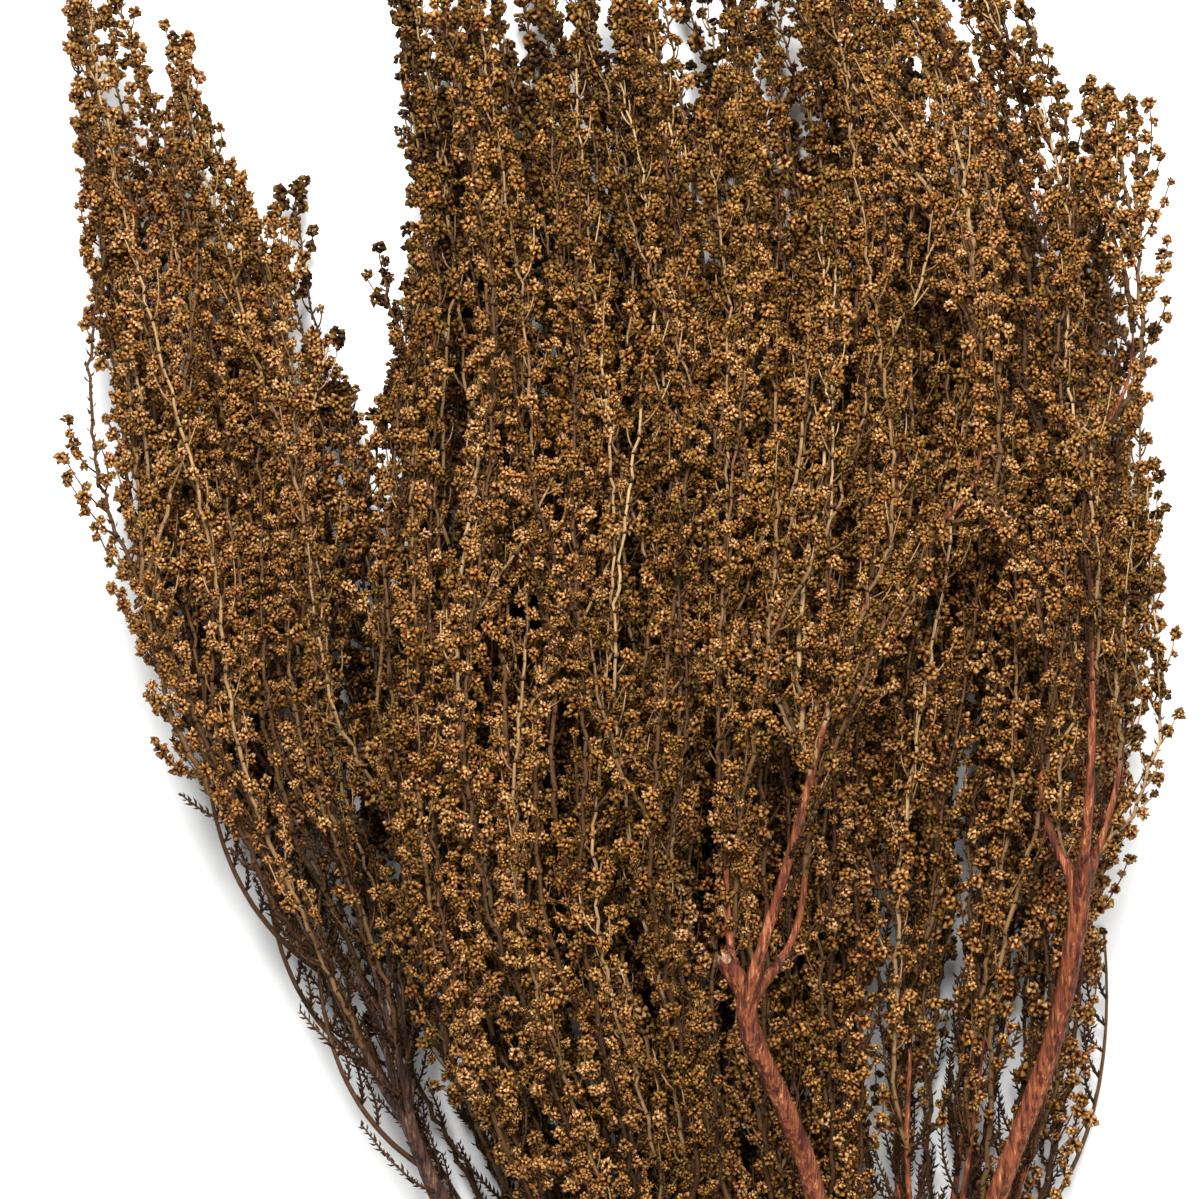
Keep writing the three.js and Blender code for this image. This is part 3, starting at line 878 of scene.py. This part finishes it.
def wand_material():
    """Thin dry wood and scale leaves: dark brown to tan by tone, and darker towards the foot as painted
    shade on wands and shoots deep in the bunch; the scale leaves sit low on it and come out darker too.
    """
    material, nodes, links = new_material("dry_wands")
    shader = nodes["Principled BSDF"]
    shader.inputs["Specular IOR Level"].default_value = 0.12
    place, tone, up = bake_map(nodes, links)
    family = ramp(nodes, links, tone, [
        (0.0, (0.04, 0.018, 0.008)),
        (0.35, (0.12, 0.058, 0.024)),
        (0.6, (0.2, 0.112, 0.044)),
        (0.82, (0.36, 0.22, 0.1)),
        (1.0, (0.46, 0.31, 0.16)),
    ])
    grain = noise_texture(nodes, links, place, 70)
    worn = ramp(nodes, links, grain, [(0.35, (0.5, 0.45, 0.4)), (0.62, (1.0, 1.0, 1.0))])
    # Painted shade: wands and shoots darken towards their foot, deep in the bunch, and so do the scale
    # leaves, which sit low on the map.
    foot = ramp(nodes, links, up, [(0.2, (0.36, 0.3, 0.25)), (0.5, (1.0, 1.0, 1.0))])
    colour = multiply(nodes, links, multiply(nodes, links, family, worn), foot)
    links.new(colour, shader.inputs["Base Color"])
    links.new(scaled(nodes, links, grain, 0.55, 0.9), shader.inputs["Roughness"])
    add_bump(nodes, links, grain, 0.3, 0.0002)
    return material


def bark_material(name, dark, middle, light):
    """Fissured bark: long streaks of three colours, with pale flakes, raised and rough. The dark streaks
    lie in the sunken fissures, partly the bark's colour and partly painted shade; the pale ones on the
    ridges, partly the bark's colour and partly painted highlight.
    """
    material, nodes, links = new_material(name)
    shader = nodes["Principled BSDF"]
    shader.inputs["Specular IOR Level"].default_value = 0.25
    where = nodes.new("ShaderNodeTexCoord").outputs["Object"]
    streaks = noise_texture(nodes, links, stretched(nodes, links, where, (1, 0.055, 1)), 1300, 5, 0.62)
    flakes = noise_texture(nodes, links, stretched(nodes, links, where, (1, 0.16, 1)), 420, 3)
    blotches = noise_texture(nodes, links, where, 55, 3)
    # Streak colours follow the bump: dark in the sunken fissures, partly painted shade, and pale on the
    # ridges, partly painted highlight.
    colours = ramp(nodes, links, streaks, [(0.38, dark), (0.47, middle), (0.56, middle), (0.64, light)])
    worn = ramp(nodes, links, flakes, [(0.4, (0.35, 0.28, 0.26)), (0.52, (1.0, 1.0, 1.0))])
    shade = ramp(nodes, links, blotches, [(0.38, (0.55, 0.45, 0.42)), (0.58, (1.0, 1.0, 1.0))])
    colour = multiply(nodes, links, multiply(nodes, links, colours, worn), shade)
    links.new(colour, shader.inputs["Base Color"])
    links.new(scaled(nodes, links, streaks, 0.85, 0.55), shader.inputs["Roughness"])
    add_bump(nodes, links, streaks, 0.8, 0.0008)
    return material


def cut_wood_material():
    """End grain, by the share up the map: growth rings, a dark pith and a dark edge."""
    material, nodes, links = new_material("cut_wood")
    shader = nodes["Principled BSDF"]
    _, _, up = bake_map(nodes, links)
    rings = ramp(nodes, links, up, [
        (0.885, (0.12, 0.06, 0.03)),
        (0.893, (0.4, 0.25, 0.13)),
        (0.912, (0.36, 0.22, 0.11)),
        (0.916, (0.2, 0.1, 0.05)),
        (0.922, (0.42, 0.26, 0.13)),
        (0.94, (0.34, 0.2, 0.1)),
        (0.944, (0.18, 0.09, 0.045)),
        (0.95, (0.42, 0.26, 0.13)),
        (0.968, (0.3, 0.16, 0.08)),
        (0.976, (0.1, 0.045, 0.025)),
    ])
    where = nodes.new("ShaderNodeTexCoord").outputs["Object"]
    grain = noise_texture(nodes, links, where, 1300, 4)
    shade = ramp(nodes, links, grain, [(0.36, (0.5, 0.42, 0.34)), (0.58, (1.0, 1.0, 1.0))])
    links.new(multiply(nodes, links, rings, shade), shader.inputs["Base Color"])
    links.new(scaled(nodes, links, grain, 0.9, 0.7), shader.inputs["Roughness"])
    add_bump(nodes, links, grain, 0.5, 0.0004)
    return material


def rubber_material():
    """Tan rubber with faint bloom."""
    material, nodes, links = new_material("rubber")
    shader = nodes["Principled BSDF"]
    where = nodes.new("ShaderNodeTexCoord").outputs["Object"]
    bloom = noise_texture(nodes, links, where, 260, 4)
    colour = ramp(nodes, links, bloom, [(0.35, (0.36, 0.19, 0.07)), (0.65, (0.56, 0.34, 0.15))])
    links.new(colour, shader.inputs["Base Color"])
    links.new(scaled(nodes, links, bloom, 0.4, 0.7), shader.inputs["Roughness"])
    add_bump(nodes, links, bloom, 0.3, 0.0003)
    return material


# ---- the bunch ----
FLOWERS = flower_material()
WANDS = wand_material()
CUT_WOOD = cut_wood_material()
RUBBER = rubber_material()
BARKS = {
    "red": bark_material("red_bark", (0.05, 0.013, 0.006), (0.22, 0.058, 0.02), (0.48, 0.2, 0.085)),
    "brown": bark_material("brown_bark", (0.02, 0.011, 0.008), (0.085, 0.042, 0.025), (0.26, 0.16, 0.09)),
}
UPPER = (FINE_BRACTS, FINE_BRACTS)
SIDE = (FINE_BRACTS, PLAIN_BRACTS)
LOWER = (PLAIN_BRACTS, DEEP_BRACTS)
HIDDEN = (DEEP_BRACTS, DEEP_BRACTS)
# A tone picks the colours of a branch's heads on the flower ramp. The low tones of the lower and middle
# branches are painted shade deep in the bunch, and the right-hand branches' tones are partly painted
# light that lifts that side.
HABITS = {
    "branch_lower_left": Habit(5, LOWER, 0.22, bare=0.2, combs=0.6, arches=2, girth=0.7),
    "branch_lower_middle": Habit(6, HIDDEN, 0.12),
    "branch_lower_right": Habit(5, LOWER, 0.42, bare=0.18, combs=0.9, arches=3, bark="red"),
    "branch_middle_far_left": Habit(5, SIDE, 0.6, bare=0.12, combs=0.6, arches=3, girth=0.7),
    "branch_middle_left": Habit(4, LOWER, 0.3),
    "branch_middle_right": Habit(5, LOWER, 0.48),
    "branch_middle_far_right": Habit(4, LOWER, 0.54, bare=0.1, combs=0.9, bark="red"),
    "branch_upper_left": Habit(5, UPPER, 0.53),
    "branch_upper_middle": Habit(5, UPPER, 0.53, combs=0.2, bark="red", girth=0.92, stub=True),
    "branch_upper_right": Habit(5, UPPER, 0.5, combs=0.3, bark="red", girth=0.86),
}


def build_branch(node_name, habit):
    """The pieces that stand for one CAD branch."""
    runs = runs_through(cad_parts[node_name])
    short = node_name.replace("branch_", "")
    wood = grow_wood("wood_" + short, runs, habit)
    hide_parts(node_name)
    tops = [run.points[run.spray_start :, 2].mean() for run in runs]
    middle = (min(tops) + max(tops)) / 2
    outermost = max(runs, key=lambda run: abs(run.points[-1, 0]))
    parts, number = Parts(), 1
    for run, top in zip(runs, tops):
        before = parts.faces
        grow_combs(parts, run, habit.combs)
        if run is outermost:
            grow_arches(parts, run, habit.arches)
        grow_spray(parts, run, habit, habit.bracts[0 if top >= middle else 1])
        grown = parts.faces - before
        if parts.faces + grown > PIECE_FACES or run is runs[-1]:
            flowers = parts.build(f"flowers_{short}_{number}", [FLOWERS, WANDS])
            parts, number = Parts(), number + 1


for name, habit in HABITS.items():
    build_branch(name, habit)

build_band(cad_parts["elastic_band"])


# ---- the surface, light and camera ----
def pale_floor():
    mesh = bpy.data.meshes.new("floor")
    mesh.from_pydata([(-3, -3, 0), (3, -3, 0), (3, 3, 0), (-3, 3, 0)], [], [(0, 1, 2, 3)])
    floor = bpy.data.objects.new("floor", mesh)
    floor.location = (0, 0, -0.3 * MM)
    bpy.context.scene.collection.objects.link(floor)
    material, nodes, links = new_material("pale_floor")
    nodes["Principled BSDF"].inputs["Base Color"].default_value = (0.9, 0.9, 0.89, 1)
    nodes["Principled BSDF"].inputs["Roughness"].default_value = 0.9
    mesh.materials.append(material)


def area_light(name, place, target, size, power):
    light = bpy.data.lights.new(name, "AREA")
    light.size = size
    light.energy = power
    obj = bpy.data.objects.new(name, light)
    obj.location = place
    obj.rotation_euler = (Vector(target) - Vector(place)).to_track_quat("-Z", "Y").to_euler()
    bpy.context.scene.collection.objects.link(obj)


def look_down():
    """The camera, straight above the crown with the tips at the top of the picture."""
    camera = bpy.data.objects.new("camera", bpy.data.cameras.new("camera"))
    camera.data.lens = 120
    camera.data.sensor_width = 36
    camera.location = (-2.4 * MM, 115 * MM, 1.285)
    bpy.context.scene.collection.objects.link(camera)
    bpy.context.scene.camera = camera


pale_floor()
area_light("key", (-0.08, 0.8, 1.36), (0.02, 0.1, 0.06), 0.6, 56)
area_light("fill", (0.6, -0.2, 1.5), (0, 0.08, 0.06), 1.2, 17)
world = bpy.data.worlds.new("soft")
world.use_nodes = True
world.node_tree.nodes["Background"].inputs["Color"].default_value = (1, 1, 1, 1)
world.node_tree.nodes["Background"].inputs["Strength"].default_value = 0.1
bpy.context.scene.world = world
bpy.context.scene.view_settings.view_transform = "Standard"
look_down()
